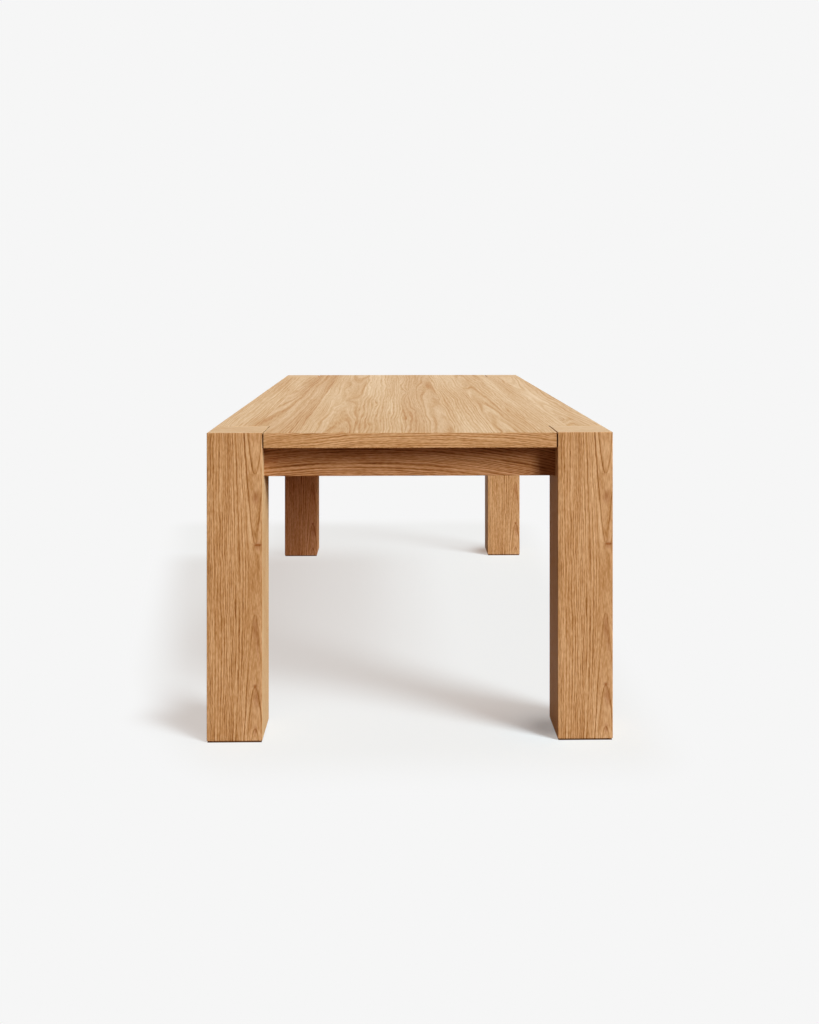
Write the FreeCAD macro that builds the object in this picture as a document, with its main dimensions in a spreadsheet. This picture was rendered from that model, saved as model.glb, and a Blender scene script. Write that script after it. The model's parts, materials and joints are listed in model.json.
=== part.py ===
import FreeCAD, Part

import os
import re

# A parsons dining table: a veneered top, notched at its corners round four square box legs whose caps
# finish flush with the table surface, on a frame of rails that bolt to the legs. Millimetres, +Z up,
# origin on the floor under the middle of the table, X across it and Y along it.
#
# Apart from the widths of the top's staves, the table is symmetric about the XZ and YZ planes. The quarter
# on +X and +Y is drawn, and the rest is mirrored from it. There the end rail runs along X to the leg's
# inner side face, and the side rail runs along Y to its inner end face.

# Driving dimensions, in millimetres, and what each one is.
SIZES = {
    "table_length": (2000, "overall, along Y"),
    "table_width": (1000, "overall, along X"),
    "table_height": (760, "floor to table surface"),
    "top_thickness": (38, "table top with its staves and backing"),
    "stave_thickness": (1.5, "sawn oak staves on the upper face"),
    "backing_thickness": (1.5, "oak sheet on the lower face"),
    "lipping_thickness": (8, "solid oak strips round the core's edges"),
    "top_arris": (0.8, "rounding of the top's upper and lower edges"),
    "leg_gap": (3, "shadow gap between a leg and the notch round it"),
    "stave_1_width": (105, "first of nine staves, at the -X edge"),
    "stave_2_width": (120, "second stave; the third takes what is left on this side"),
    "stave_4_width": (131, "fourth stave, which ends at the middle seam"),
    "seam_offset": (-14, "X of the middle seam"),
    "stave_5_width": (124, "fifth stave, which starts there"),
    "stave_6_width": (108, "sixth stave; the seventh takes what is left on this side"),
    "stave_8_width": (88, "eighth stave"),
    "stave_9_width": (90, "ninth stave, at the +X edge"),
    "leg_width": (136, "square leg, outside"),
    "leg_panel": (18, "leg's panels and cap"),
    "leg_arris": (1, "rounding of a leg's edges"),
    "foot_chamfer": (2.5, "bevel round a leg's lower end"),
    "head_block_height": (110, "block under the cap that takes the bolts"),
    "foot_block_height": (50, "block in the lower end that takes the glide"),
    "glide_diameter": (60, "nylon glide"),
    "glide_projection": (2, "glide below the leg"),
    "glide_recess": (4, "glide let into the foot block"),
    "glide_bevel": (1, "glide's lower edge"),
    "glide_clearance": (0.2, "round the glide in its recess"),
    "glide_screw_length": (30, "overall"),
    "glide_screw_depth": (1, "glide screw's head above the glide's lower face"),
    "rail_height": (75, "end rails and side rails"),
    "rail_thickness": (25, "all rails"),
    "rail_setback": (38, "rail's outer face behind the leg's"),
    "rail_arris": (1, "rounding of a rail's lower edges"),
    "cross_rail_height": (60, "two rails across the middle"),
    "cross_rail_spacing": (660, "between their middles"),
    "cleat_size": (20, "square strip along the inside of a rail"),
    "cleat_end_gap": (92, "leg's face to the end of a cleat"),
    "cleat_clearance": (0.5, "round a cleat where a cross rail is notched for it"),
    "dowel_diameter": (10, "beech dowels"),
    "dowel_length": (40, "overall"),
    "dowel_in_rail": (25, "part of a dowel in the end of a rail"),
    "dowel_spacing": (36, "between the two dowels at a leg"),
    "cross_dowel_spacing": (20, "between the two dowels of a cross rail"),
    "cross_dowel_height": (20, "their middle above the cross rail's lower edge"),
    "glue_room": (0.5, "at each end of a dowel"),
    "bracket_thickness": (4, "steel angle between leg and rail"),
    "bracket_height": (68, "up the rail"),
    "bracket_leg_flange": (55, "against the leg"),
    "bracket_rail_flange": (75, "against the rail"),
    "bracket_bend": (3, "inner radius"),
    "bolt_diameter": (8, "hex bolts from bracket to leg"),
    "bolt_length": (45, "under the head"),
    "bolt_head_flats": (13, "across flats"),
    "bolt_head_height": (5.3, "hex head"),
    "bolt_hole_clearance": (0.5, "round a bolt in the bracket and the leg's panel"),
    "bolt_offset": (32, "bolt to the rail's inner face"),
    "bolt_spacing": (32, "between the two bolts of a bracket"),
    "bolt_stagger": (16, "height between an end rail's bolts and a side rail's"),
    "washer_diameter": (22, "outside"),
    "washer_thickness": (1.5, "flat washer"),
    "insert_diameter": (12, "threaded insert, outside"),
    "insert_length": (25, "overall"),
    "fit_clearance": (0.1, "round screws and dowels in their holes, and bolts in washers and inserts"),
    "screw_diameter": (4.5, "countersunk wood screws"),
    "screw_head_diameter": (8.6, "over the head"),
    "screw_head_height": (3, "countersunk part"),
    "screw_point": (5, "tapered tip"),
    "bracket_screw_length": (20, "overall"),
    "bracket_screw_near": (28, "first pair of screws to the leg's face"),
    "bracket_screw_far": (60, "second pair of screws to the leg's face"),
    "bracket_screw_spacing": (34, "between the two screws of a pair"),
    "top_screw_length": (40, "overall"),
    "cleat_screw_margin": (32, "outer screw to the end of a cleat"),
    "cross_screw_margin": (97, "outer screw to the end of a cross rail"),
    "counterbore_diameter": (12, "up through a cross rail, for a top screw's head"),
    "drive_width": (0.9, "slots of a screw's cross recess"),
    "drive_reach": (4.6, "from end to end of a slot"),
    "drive_depth": (1.5, "into the head"),
}

# Planes and lengths that several pieces share, worked out from the sizes and from one another.
PLACES = {
    "half_width": "table_width / 2",
    "half_length": "table_length / 2",
    "leg_face_x": "half_width - leg_width",
    "leg_face_y": "half_length - leg_width",
    "leg_centre_x": "half_width - leg_width / 2",
    "leg_centre_y": "half_length - leg_width / 2",
    "leg_half": "leg_width / 2",
    "leg_hollow": "leg_half - leg_panel",
    "leg_cap_low": "table_height - leg_panel",
    "top_low": "table_height - top_thickness",
    "core_low": "top_low + backing_thickness",
    "core_high": "table_height - stave_thickness",
    "notch_x": "leg_face_x - leg_gap",
    "notch_y": "leg_face_y - leg_gap",
    "core_x": "half_width - lipping_thickness",
    "core_y": "half_length - lipping_thickness",
    "core_notch_x": "notch_x - lipping_thickness",
    "core_notch_y": "notch_y - lipping_thickness",
    "rail_low": "top_low - rail_height",
    "rail_middle": "top_low - rail_height / 2",
    "rail_outer_x": "half_width - rail_setback",
    "rail_outer_y": "half_length - rail_setback",
    "rail_inner_x": "rail_outer_x - rail_thickness",
    "rail_inner_y": "rail_outer_y - rail_thickness",
    "cross_low": "top_low - cross_rail_height",
    "cross_middle": "cross_rail_spacing / 2",
    "cross_dowel_middle": "cross_low + cross_dowel_height",
    "cleat_low": "top_low - cleat_size",
    "end_cleat_reach": "leg_face_x - cleat_end_gap",
    "side_cleat_reach": "leg_face_y - cleat_end_gap",
    "end_screw_reach": "end_cleat_reach - cleat_screw_margin",
    "side_screw_reach": "side_cleat_reach - cleat_screw_margin",
    "cross_screw_reach": "rail_inner_x - cross_screw_margin",
    "seam_1": "-half_width + stave_1_width",
    "seam_2": "seam_1 + stave_2_width",
    "seam_3": "seam_offset - stave_4_width",
    "seam_4": "seam_offset",
    "seam_5": "seam_offset + stave_5_width",
    "seam_6": "seam_5 + stave_6_width",
    "seam_7": "seam_8 - stave_8_width",
    "seam_8": "half_width - stave_9_width",
}

# Turns that lay a piece drawn along +Z along another axis, and one that takes the end rail's joint to the
# side rail's: it swaps X and Y and turns the joint upside down, so that all the brackets are alike and no
# bolt meets another.
ALONG_X = FreeCAD.Rotation(FreeCAD.Vector(0, 1, 0), 90)
ALONG_Y = FreeCAD.Rotation(FreeCAD.Vector(1, 0, 0), -90)
SWAPPED = FreeCAD.Rotation(FreeCAD.Vector(1, 1, 0), 180)
ACROSS = FreeCAD.Vector(1, 0, 0)
ALONG = FreeCAD.Vector(0, 1, 0)
UP = FreeCAD.Vector(0, 0, 1)
TOUCH = 1e-4
STAVES = 9

doc = FreeCAD.newDocument("ParsonsTable")
sheet = doc.addObject("Spreadsheet::Sheet", "Sizes")
for row, (alias, (value, meaning)) in enumerate(SIZES.items(), start=1):
    sheet.set(f"A{row}", alias)
    sheet.set(f"B{row}", str(value))
    sheet.set(f"C{row}", meaning)
    sheet.setAlias(f"B{row}", alias)
doc.recompute()


def formula(text):
    """A formula in the names above, written out in the sheet's own cells."""
    def written_out(word):
        if word.group() in PLACES:
            return f"({formula(PLACES[word.group()])})"
        return f"Sizes.{word.group()}" if word.group() in SIZES else word.group()
    return re.sub(r"[a-z]\w*", written_out, text)


def tie(thing, **formulas):
    """Binds properties of a document object to the sheet, and gives the object back."""
    for name, text in formulas.items():
        thing.setExpression(name, formula(text))
    return thing


def place(thing, x="0", y="0", z="0", turn=FreeCAD.Rotation()):
    """Sets an object's turn and binds its position to the sheet."""
    thing.Placement = FreeCAD.Placement(FreeCAD.Vector(), turn)
    for axis, text in (("x", x), ("y", y), ("z", z)):
        thing.setExpression(f"Placement.Base.{axis}", formula(text))
    return thing


def block(name, x, y, z, body=None):
    """A box between two planes on each axis, as a piece of its own or as the next feature of a body."""
    box = body.newObject("PartDesign::AdditiveBox", name) if body else doc.addObject("Part::Box", name)
    for side, (low, high) in (("Length", x), ("Width", y), ("Height", z)):
        tie(box, **{side: f"({high}) - ({low})"})
    return place(box, x[0], y[0], z[0])


def both_ways(reach, middle="0"):
    """The two planes at the same distance on each side of a middle one."""
    return f"{middle} - ({reach})", f"{middle} + {reach}"


def rod(name, radius, length, z="0"):
    """A cylinder along +Z that starts at the given height."""
    return place(tie(doc.addObject("Part::Cylinder", name), Radius=radius, Height=length), z=z)


def taper(name, low_radius, high_radius, length, z="0"):
    """A cone along +Z that starts at the given height."""
    cone = doc.addObject("Part::Cone", name)
    return place(tie(cone, Radius1=low_radius, Radius2=high_radius, Height=length), z=z)


def fused(name, pieces):
    """Several overlapping or touching shapes as one solid."""
    fuse = doc.addObject("Part::MultiFuse", name)
    fuse.Shapes = pieces
    return fuse


def cut(name, piece, tool):
    """A piece less what a tool takes out of it."""
    result = doc.addObject("Part::Cut", name)
    result.Base, result.Tool = piece, tool
    return result


def shared(name, first, second):
    """What lies in both shapes."""
    result = doc.addObject("Part::MultiCommon", name)
    result.Shapes = [first, second]
    return result


def group(name, pieces):
    """Separate solids held in one object."""
    compound = doc.addObject("Part::Compound", name)
    compound.Links = pieces
    return compound


def copies(name, piece, spots, turn=FreeCAD.Rotation()):
    """One piece repeated, with its origin at each spot."""
    return group(name, [place(group(f"{name}_{number}", [piece]), *spot, turn=turn)
                        for number, spot in enumerate(spots, start=1)])


def mirrored(name, piece, normal):
    """A piece's image in the plane through the origin with this normal."""
    mirror = doc.addObject("Part::Mirroring", name)
    mirror.Source, mirror.Normal = piece, normal
    return mirror


def two_ways(name, piece, normal):
    """A piece and its mirror image."""
    return group(name, [piece, mirrored(f"{name}_mirror", piece, normal)])


def four_ways(name, quarter):
    """A quarter of the table's hardware and its three mirror images."""
    return two_ways(name, two_ways(f"{name}_half", quarter, ACROSS), ALONG)


def dressed(body, kind, base, chosen, **formulas):
    """A fillet or chamfer on the edges of a body's feature that pass the test."""
    doc.recompute()
    names = [f"Edge{number}" for number, edge in enumerate(base.Shape.Edges, start=1) if chosen(edge)]
    feature = body.newObject(f"PartDesign::{kind}", f"{body.Name}{kind}{len(body.Group)}")
    feature.Base = (base, names)
    return tie(feature, **formulas)


def is_upright(edge):
    """Whether an edge is straight and parallel to Z."""
    return edge.BoundBox.ZLength > TOUCH and max(edge.BoundBox.XLength, edge.BoundBox.YLength) < TOUCH


def at_height(edge, height):
    """Whether an edge lies in the level plane at this height."""
    return abs(edge.BoundBox.ZMin - height) < TOUCH and abs(edge.BoundBox.ZMax - height) < TOUCH


# Screws, bolts and dowels, and the holes that take them, each drawn once along +Z, the way it goes in.

def wood_screw(name, length):
    """A countersunk screw with its head's face at zero."""
    radius = "screw_diameter / 2"
    head = taper(f"{name}_head", "screw_head_diameter / 2", radius, "screw_head_height")
    shank = rod(f"{name}_shank", radius, f"{length} - screw_head_height - screw_point", "screw_head_height")
    point = taper(f"{name}_point", radius, "0", "screw_point", f"{length} - screw_point")
    slot, reach, depth = both_ways("drive_width / 2"), both_ways("drive_reach / 2"), ("0", "drive_depth")
    recess = fused(f"{name}_recess", [block(f"{name}_slot_x", reach, slot, depth),
                                      block(f"{name}_slot_y", slot, reach, depth)])
    return cut(name, fused(f"{name}_solid", [head, shank, point]), recess)


def screw_bore(name, length):
    """The hole for a wood screw, countersunk for its head."""
    radius = "screw_diameter / 2 + fit_clearance"
    head = taper(f"{name}_head", "screw_head_diameter / 2 + fit_clearance", radius, "screw_head_height")
    shank = rod(f"{name}_shank", radius, f"{length} + fit_clearance")
    return fused(name, [head, shank])


def hex_bolt():
    """A hex bolt with the underside of its head at zero. A 30 degree cone takes off the head's corners."""
    hexagon = tie(doc.addObject("Part::Prism", "bolt_hexagon"), Circumradius="bolt_head_flats / sqrt(3)",
                  Height="bolt_head_height")
    hexagon.Polygon = 6
    place(hexagon, z="-bolt_head_height")
    cone = taper("bolt_cone", "bolt_head_flats / 2", "bolt_head_flats / 2 + bolt_head_height * sqrt(3)",
                 "bolt_head_height", "-bolt_head_height")
    shank = rod("bolt_shank", "bolt_diameter / 2", "bolt_length")
    return fused("bolt", [shared("bolt_head", hexagon, cone), shank])


def ring(name, outer_diameter, length):
    """A washer or insert round a bolt."""
    hole = rod(f"{name}_hole", "bolt_diameter / 2 + fit_clearance", length)
    return cut(name, rod(f"{name}_blank", f"{outer_diameter} / 2", length), hole)


def bolt_bore():
    """From the bracket's face through the leg's panel, then wider for the insert in the block."""
    clear = rod("bolt_bore_clear", "bolt_diameter / 2 + bolt_hole_clearance",
                "bracket_thickness + leg_panel")
    seat = rod("bolt_bore_seat", "insert_diameter / 2 + fit_clearance", "insert_length + fit_clearance",
               "bracket_thickness + leg_panel")
    return fused("bolt_bore", [clear, seat])


bolt = hex_bolt()
washer = ring("washer", "washer_diameter", "washer_thickness")
insert = ring("insert", "insert_diameter", "insert_length")
dowel = rod("dowel", "dowel_diameter / 2", "dowel_length")
dowel_bore = rod("dowel_bore", "dowel_diameter / 2 + fit_clearance", "dowel_length + 2 * glue_room",
                 "-glue_room")
bracket_screw = wood_screw("bracket_screw", "bracket_screw_length")
bracket_screw_bore = screw_bore("bracket_screw_bore", "bracket_screw_length")
top_screw = wood_screw("top_screw", "top_screw_length")
top_screw_bore = screw_bore("top_screw_bore", "top_screw_length")
glide_screw = wood_screw("glide_screw", "glide_screw_length")

# The joint of a rail and a leg, drawn as the end rail's. Its origin is where the leg's face meets the
# rail's inner face, at half the rail's height: the leg lies on +X, the rail on -X and +Y.

def bolt_spots(x):
    """Where the bracket's two bolts go into the leg, at this distance from the leg's face."""
    return [(x, "-bolt_offset", height) for height in both_ways("bolt_spacing / 2", "bolt_stagger / 2")]


screw_spots = [(f"-{reach}", "-bracket_thickness", height)
               for height in both_ways("bracket_screw_spacing / 2")
               for reach in ("bracket_screw_near", "bracket_screw_far")]
dowel_spots = [("-dowel_in_rail", "rail_thickness / 2", height) for height in both_ways("dowel_spacing / 2")]
dowel_bores = copies("dowel_bores", dowel_bore, dowel_spots, ALONG_X)
bolt_bores = copies("bolt_bores", bolt_bore(), bolt_spots("-bracket_thickness"), ALONG_X)
screw_bores = copies("screw_bores", bracket_screw_bore, screw_spots, ALONG_Y)


def angle_bracket():
    """An L of two flanges with a rounded bend, drilled for its bolts and screws."""
    body = doc.addObject("PartDesign::Body", "BracketBlank")
    height = both_ways("bracket_height / 2")
    block("LegFlange", ("-bracket_thickness", "0"), ("-bracket_leg_flange", "0"), height, body)
    flanges = block("RailFlange", ("-bracket_rail_flange", "0"), ("-bracket_thickness", "0"), height, body)

    def in_bend(edge, corner):
        start = edge.Vertexes[0].Point
        return is_upright(edge) and abs(start.x - corner) < TOUCH and abs(start.y - corner) < TOUCH

    outside = dressed(body, "Fillet", flanges, lambda edge: in_bend(edge, 0),
                      Radius="bracket_bend + bracket_thickness")
    dressed(body, "Fillet", outside, lambda edge: in_bend(edge, -sheet.bracket_thickness),
            Radius="bracket_bend")
    return cut("bracket", cut("bracket_for_bolts", body, bolt_bores), screw_bores)


def at_both_joints(name, joint):
    """What is drawn at the joint's origin, set at the end rail's joint and at the side rail's."""
    end = place(group(f"{name}_end", [joint]), "leg_face_x", "rail_inner_y", "rail_middle")
    side = place(group(f"{name}_side", [joint]), "rail_inner_x", "leg_face_y", "rail_middle", SWAPPED)
    return end, side


end_dowel_bores, side_dowel_bores = at_both_joints("dowel_bores", dowel_bores)
end_bolt_bores, side_bolt_bores = at_both_joints("bolt_bores", bolt_bores)
end_screw_bores, side_screw_bores = at_both_joints("screw_bores", screw_bores)

# Where a cross rail meets a side rail, and where screws go up into the top.
cross_dowel_spots = [("rail_inner_x - dowel_in_rail", "cross_middle", height)
                     for height in both_ways("cross_dowel_spacing / 2", "cross_dowel_middle")]
cross_dowel_bores = copies("cross_dowel_bores", dowel_bore, cross_dowel_spots, ALONG_X)
end_screw_spots = [(f"end_screw_reach * {share}", "rail_inner_y - cleat_size / 2", "cleat_low")
                   for share in ("1 / 3", "1")]
side_screw_spots = [("rail_inner_x - cleat_size / 2", f"side_screw_reach * {share}", "cleat_low")
                    for share in ("1 / 5", "3 / 5", "1")]
cross_screw_spots = [(f"cross_screw_reach * {share}", "cross_middle", "cleat_low")
                     for share in ("1 / 3", "1")]
top_screw_spots = end_screw_spots + side_screw_spots + cross_screw_spots
top_screw_bores = four_ways("top_screw_bores", copies("top_screw_bores_quarter", top_screw_bore,
                                                      top_screw_spots))

node_of = {}


def keep(label, piece):
    """Names a finished sub-part. Its label names its file."""
    piece.Label = label
    node_of[label] = piece
    return piece


# Legs. One is drawn, at +X and +Y, and mirrored to the other corners.

def leg_blank():
    """The leg's outside: square, bevelled at the foot and lightly rounded elsewhere."""
    body = doc.addObject("PartDesign::Body", "LegBlank")
    square = block("LegSquare", ("leg_face_x", "half_width"), ("leg_face_y", "half_length"),
                   ("glide_projection", "table_height"), body)
    foot = sheet.glide_projection
    bevelled = dressed(body, "Chamfer", square, lambda edge: at_height(edge, foot), Size="foot_chamfer")
    dressed(body, "Fillet", bevelled, lambda edge: edge.BoundBox.ZMax > foot + sheet.foot_chamfer + TOUCH,
            Radius="leg_arris")
    return body


def leg_panel(name, turn):
    """One side of the leg: mitred to its neighbours and, at the top, to the cap."""
    mitre = tie(doc.addObject("Part::Wedge", f"{name}_mitre"), Ymin="-leg_half", Ymax="-leg_hollow",
                Xmin="-leg_half", Xmax="leg_half", X2min="-leg_hollow", X2max="leg_hollow",
                Zmin="glide_projection", Z2min="glide_projection", Zmax="table_height", Z2max="leg_cap_low")
    place(mitre, "leg_centre_x", "leg_centre_y", turn=FreeCAD.Rotation(UP, turn))
    return shared(name, leg_outside, mitre)


def leg_cap():
    """The top of the leg, mitred to all four panels."""
    mitre = tie(doc.addObject("Part::Wedge", "cap_mitre"), Ymin="leg_cap_low", Ymax="table_height",
                Xmin="-leg_hollow", Xmax="leg_hollow", X2min="-leg_half", X2max="leg_half",
                Zmin="-leg_hollow", Zmax="leg_hollow", Z2min="-leg_half", Z2max="leg_half")
    place(mitre, "leg_centre_x", "leg_centre_y", turn=FreeCAD.Rotation(ACROSS, 90))
    return shared("cap", leg_outside, mitre)


def leg_block(name, z):
    """A solid block that fills the leg's hollow over part of its height."""
    return block(name, both_ways("leg_hollow", "leg_centre_x"), both_ways("leg_hollow", "leg_centre_y"), z)


def glide():
    """A bevelled nylon disc with a countersunk hole, its lower face on the floor."""
    thickness = "glide_projection + glide_recess"
    edge = taper("glide_edge", "glide_diameter / 2 - glide_bevel", "glide_diameter / 2", "glide_bevel")
    disc = rod("glide_disc", "glide_diameter / 2", f"{thickness} - glide_bevel", "glide_bevel")
    way_in = rod("glide_way_in", "screw_head_diameter / 2 + fit_clearance", "glide_screw_depth")
    hole = place(group("glide_hole", [glide_screw_bore]), z="glide_screw_depth")
    return cut("glide", fused("glide_blank", [edge, disc]), fused("glide_holes", [way_in, hole]))


leg_outside = leg_blank()
glide_screw_bore = screw_bore("glide_screw_bore", "glide_screw_length")
foot_recess = rod("foot_recess", "glide_diameter / 2 + glide_clearance", "glide_recess", "glide_projection")
foot_screw_bore = place(group("foot_screw_bore", [glide_screw_bore]), z="glide_screw_depth")
foot_bores = place(fused("foot_bores", [foot_recess, foot_screw_bore]), "leg_centre_x", "leg_centre_y")
head_block = leg_block("head_block", ("leg_cap_low - head_block_height", "leg_cap_low"))
foot_block = leg_block("foot_block", ("glide_projection", "glide_projection + foot_block_height"))
leg = {
    "cap": leg_cap(),
    "outer_side_panel": leg_panel("outer_side_panel", 90),
    "outer_end_panel": leg_panel("outer_end_panel", 180),
    "inner_side_panel": cut("inner_side_drilled", leg_panel("inner_side_panel", 270),
                            group("inner_side_bores", [end_dowel_bores, end_bolt_bores])),
    "inner_end_panel": cut("inner_end_drilled", leg_panel("inner_end_panel", 0),
                           group("inner_end_bores", [side_dowel_bores, side_bolt_bores])),
    "head_block": cut("head_block_drilled", head_block,
                      group("head_bores", [end_bolt_bores, side_bolt_bores])),
    "foot_block": cut("foot_block_drilled", foot_block, foot_bores),
}
for piece_name, piece in leg.items():
    left_piece = mirrored(f"left_{piece_name}", piece, ACROSS)
    keep(f"leg_back_right_{piece_name}", piece)
    keep(f"leg_back_left_{piece_name}", left_piece)
    keep(f"leg_front_right_{piece_name}", mirrored(f"front_right_{piece_name}", piece, ALONG))
    keep(f"leg_front_left_{piece_name}", mirrored(f"front_left_{piece_name}", left_piece, ALONG))

for foot_name, foot_piece, height in (("foot_glides", glide(), "0"),
                                      ("foot_glide_screws", glide_screw, "glide_screw_depth")):
    at_foot = copies(f"{foot_name}_quarter", foot_piece, [("leg_centre_x", "leg_centre_y", height)])
    keep(foot_name, four_ways(f"{foot_name}_all", at_foot))


# Rails, cleats and the hardware that joins them.

def rail(name, x, y, run):
    """A rail with its two long lower edges rounded. Run names the box side that measures along it."""
    body = doc.addObject("PartDesign::Body", name)
    plain = block(f"{name}Blank", x, y, ("rail_low", "top_low"), body)
    low = sheet.table_height - sheet.top_thickness - sheet.rail_height
    dressed(body, "Fillet", plain, lambda edge: at_height(edge, low) and getattr(edge.BoundBox, run) > TOUCH,
            Radius="rail_arris")
    return body


def cross_rail():
    """A rail between the side rails, notched over their cleats and counterbored for its screws."""
    plain = block("cross_rail_blank", both_ways("rail_inner_x"),
                  both_ways("rail_thickness / 2", "cross_middle"), ("cross_low", "top_low"))
    notch = block("cleat_notch",
                  ("rail_inner_x - cleat_size - cleat_clearance", "rail_inner_x + cleat_clearance"),
                  both_ways("rail_thickness", "cross_middle"),
                  ("cleat_low - cleat_clearance", "top_low + cleat_clearance"))
    counterbore = rod("counterbore", "counterbore_diameter / 2", "cleat_low - cross_low")
    counterbores = copies("counterbores", counterbore, [(x, y, "cross_low") for x, y, _ in cross_screw_spots])
    half = group("cross_bores_half", [notch, counterbores, cross_dowel_bores])
    worked = cut("cross_rail_cut", plain, two_ways("cross_bores", half, ACROSS))
    return cut("cross_rail_drilled", worked, top_screw_bores)


end_rail_blank = rail("EndRail", both_ways("leg_face_x"), ("rail_inner_y", "rail_outer_y"), "XLength")
side_rail_blank = rail("SideRail", ("rail_inner_x", "rail_outer_x"), both_ways("leg_face_y"), "YLength")
end_rail_bores = two_ways("end_rail_bores", group("end_rail_bores_half", [
    end_dowel_bores, end_screw_bores]), ACROSS)
side_rail_bores = two_ways("side_rail_bores", group("side_rail_bores_half", [
    side_dowel_bores, side_screw_bores, cross_dowel_bores]), ALONG)
end_rail = keep("end_rail_back", cut("end_rail_drilled", end_rail_blank, end_rail_bores))
keep("end_rail_front", mirrored("end_rail_mirrored", end_rail, ALONG))
side_rail = keep("side_rail_right", cut("side_rail_drilled", side_rail_blank, side_rail_bores))
keep("side_rail_left", mirrored("side_rail_mirrored", side_rail, ACROSS))
back_cross_rail = keep("cross_rail_back", cross_rail())
keep("cross_rail_front", mirrored("cross_rail_mirrored", back_cross_rail, ALONG))

cleat_height = ("cleat_low", "top_low")
end_cleat = block("end_cleat", both_ways("end_cleat_reach"), ("rail_inner_y - cleat_size", "rail_inner_y"),
                  cleat_height)
side_cleat = block("side_cleat", ("rail_inner_x - cleat_size", "rail_inner_x"), both_ways("side_cleat_reach"),
                   cleat_height)
cleats = [two_ways(f"{cleat.Name}s", cut(f"{cleat.Name}_drilled", cleat, top_screw_bores), normal)
          for cleat, normal in ((end_cleat, ALONG), (side_cleat, ACROSS))]
keep("rail_cleats", group("cleats", cleats))


def hardware(label, joint_pieces, more=()):
    """The pieces of all eight rail joints, and any others in the quarter, under one name."""
    joints = at_both_joints(f"{label}_joint", joint_pieces)
    keep(label, four_ways(f"{label}_all", group(f"{label}_quarter", [*joints, *more])))


hardware("corner_brackets", angle_bracket())
washer_spots = bolt_spots("-bracket_thickness - washer_thickness")
hardware("bracket_bolts", copies("bolts", bolt, washer_spots, ALONG_X))
hardware("bolt_washers", copies("washers", washer, washer_spots, ALONG_X))
hardware("threaded_inserts", copies("inserts", insert, bolt_spots("leg_panel"), ALONG_X))
hardware("bracket_screws", copies("bracket_screw_set", bracket_screw, screw_spots, ALONG_Y))
hardware("rail_dowels", copies("dowels", dowel, dowel_spots, ALONG_X),
         [copies("cross_dowels", dowel, cross_dowel_spots, ALONG_X)])
keep("top_screws", four_ways("top_screw_all", copies("top_screw_set", top_screw, top_screw_spots)))


# The top: a core with lippings round it, staves over both and a backing sheet under both.

def notched(name, x_reach, y_reach, notch_x, notch_y, z):
    """A slab with a square notch at each corner."""
    body = doc.addObject("PartDesign::Body", name)
    block(f"{name}Wide", both_ways(x_reach), both_ways(notch_y), z, body)
    slab = block(f"{name}Long", both_ways(notch_x), both_ways(y_reach), z, body)
    return body, slab


def faced(name, z, rounded_height):
    """A sheet over the whole top with the arris along its outer face."""
    body, slab = notched(name, "half_width", "half_length", "notch_x", "notch_y", z)
    dressed(body, "Fillet", slab, lambda edge: at_height(edge, rounded_height), Radius="top_arris")
    return body


core_height = ("core_low", "core_high")
core_blank, _ = notched("CoreBlank", "core_x", "core_y", "core_notch_x", "core_notch_y", core_height)
keep("top_core", cut("core_drilled", core_blank, top_screw_bores))
backing_blank = faced("BackingBlank", ("top_low", "core_low"), sheet.table_height - sheet.top_thickness)
keep("top_backing", cut("backing_drilled", backing_blank, top_screw_bores))
facing = faced("FacingBlank", ("core_high", "table_height"), sheet.table_height)
seams = ["-half_width", *(f"seam_{number}" for number in range(1, STAVES)), "half_width"]
for number, edges in enumerate(zip(seams, seams[1:]), start=1):
    strip = block(f"strip_{number}", edges, both_ways("half_length"), ("core_high", "table_height"))
    keep(f"top_stave_{number}", shared(f"stave_{number}", facing, strip))

end_lipping = keep("end_lipping_back",
                   block("end_lipping", both_ways("notch_x"), ("core_y", "half_length"), core_height))
keep("end_lipping_front", mirrored("end_lipping_mirrored", end_lipping, ALONG))
side_lipping = keep("side_lipping_right",
                    block("side_lipping", ("core_x", "half_width"), both_ways("notch_y"), core_height))
keep("side_lipping_left", mirrored("side_lipping_mirrored", side_lipping, ACROSS))
notch_side = block("notch_side", ("core_notch_x", "notch_x"), ("core_notch_y", "core_y"), core_height)
notch_end = block("notch_end", ("notch_x", "core_x"), ("core_notch_y", "notch_y"), core_height)
keep("notch_lippings", four_ways("notch_strips", group("notch_quarter", [notch_side, notch_end])))

doc.recompute()
failed = [thing.Name for thing in doc.Objects if {"Invalid", "Error"} & set(thing.State)]
bad = [label for label, piece in node_of.items() if piece.Shape.isNull() or not piece.Shape.isValid()]
if failed or bad:
    raise RuntimeError(f"failed features: {failed}, bad shapes: {bad}")

os.makedirs("parts", exist_ok=True)
for label, piece in node_of.items():
    Part.makeCompound(piece.Shape.Solids).exportStep(f"parts/{label}.step")
    print(f"{label}: {len(piece.Shape.Solids)} solids, {piece.Shape.Volume / 1000:.1f} cm3")
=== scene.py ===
"""The looks of a parsons dining table in oak: finishes, floor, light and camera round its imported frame.

Lengths are metres in the frame's own axes: +Z up, the floor at zero, X across the table and Y along it. Every
board is cut from a log of its own. The log's growth rings are worked out in space, so the figure runs over an
edge as it does in solid wood, with end grain where a board is cut across.
"""

import json
import logging
import math
from collections.abc import Iterator, Mapping
from dataclasses import dataclass, replace
from enum import Enum
from typing import Any

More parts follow.
